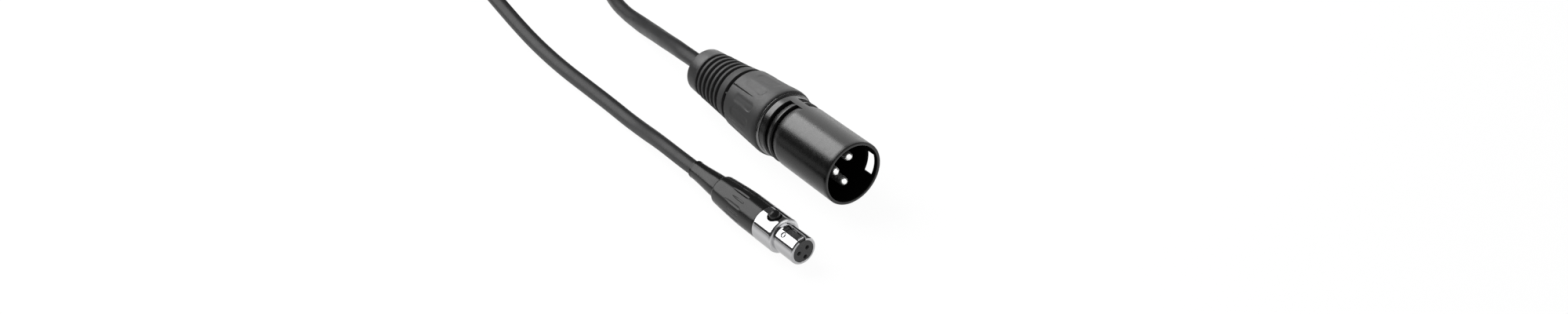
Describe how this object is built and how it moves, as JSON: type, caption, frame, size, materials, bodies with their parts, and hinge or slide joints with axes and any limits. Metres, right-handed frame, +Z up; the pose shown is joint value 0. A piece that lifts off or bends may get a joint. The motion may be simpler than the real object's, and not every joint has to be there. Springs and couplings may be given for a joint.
{
  "type": "audio adapter lead",
  "caption": "Adapter lead with a male XLR plug and a latching female mini XLR plug lying side by side, joined by a round cable coiled and tied behind them.",
  "frame": {"origin": "on the floor, under the middle of the box round the two plugs with their boots", "axes": "+Y backwards along the XLR plug, from its mouth to its cable; +X from the mini plug to the XLR plug; +Z up"},
  "size_m": [0.0653, 0.2506, 0.0222],
  "materials": {
    "dark_metal": "satin black",
    "insert_black": "matt",
    "silver": "bright silver plate",
    "spring_brass": "plain",
    "clamp_plastic": "matt",
    "grip_rubber": "matt moulded",
    "boot_rubber": "matt moulded",
    "wire_red": "satin",
    "wire_white": "satin",
    "wire_bare": "twisted copper",
    "cable_jacket": "satin",
    "bright_chrome": "polished",
    "insert_grey": "matt",
    "contact_gold": "gold plate",
    "latch_steel": "plain",
    "button_black": "gloss",
    "crimp_metal": "plain",
    "mini_boot_plastic": "satin",
    "tie_plastic": "woven"
  },
  "bodies": {
    "lead": {"xlr_shell": "dark_metal", "xlr_insert": "insert_black", "xlr_pin_1": "silver", "xlr_pin_2": "silver", "xlr_pin_3": "silver", "xlr_ground_contact": "spring_brass", "xlr_cable_clamp": "clamp_plastic", "xlr_wire_1": "wire_red", "xlr_wire_2": "wire_white", "xlr_wire_3": "wire_bare", "xlr_jacket": "cable_jacket", "mini_barrel": "bright_chrome", "mini_insert": "insert_grey", "mini_socket_1": "contact_gold", "mini_socket_2": "contact_gold", "mini_socket_3": "contact_gold", "mini_latch_pin": "latch_steel", "mini_lock_screw": "latch_steel", "mini_cable_clamp": "crimp_metal", "mini_wire_1": "wire_red", "mini_wire_2": "wire_white", "mini_wire_3": "wire_bare", "mini_jacket": "cable_jacket", "cable_run_xlr": "cable_jacket", "cable_coil": "cable_jacket", "cable_run_mini": "cable_jacket", "coil_tie": "tie_plastic"},
    "xlr_boot": {"xlr_boot": "boot_rubber"},
    "xlr_bushing": {"xlr_bushing": "grip_rubber"},
    "mini_latch": {"mini_latch": "latch_steel", "mini_button": "button_black"},
    "mini_boot": {"mini_boot": "mini_boot_plastic", "mini_sleeve": "boot_rubber"}
  },
  "joints": [
    {"name": "gland_slide", "type": "slide", "parent": "lead", "child": "xlr_boot", "axis": [0, 1, 0], "range_m": [0, 0.006]},
    {"name": "bushing_turn", "type": "hinge", "parent": "xlr_boot", "child": "xlr_bushing", "pos_m": [0.01138, 0.01106, 0.01045], "axis": [0, 1, 0], "range_deg": [0, 1440]},
    {"name": "latch_press", "type": "hinge", "parent": "lead", "child": "mini_latch", "pos_m": [-0.01708, -0.02246, 0.00783], "axis": [0.9921, 0.0294, 0.1219], "range_deg": [0, 1.8], "stiffness_Nm_per_rad": 0.2},
    {"name": "mini_boot_slide", "type": "slide", "parent": "lead", "child": "mini_boot", "axis": [-0.0297, 0.9996, 0], "range_m": [0, 0.008]}
  ],
  "couplings": [
    {"joint": "gland_slide", "follows": "bushing_turn", "m_per_rad": 0.00023873}
  ]
}
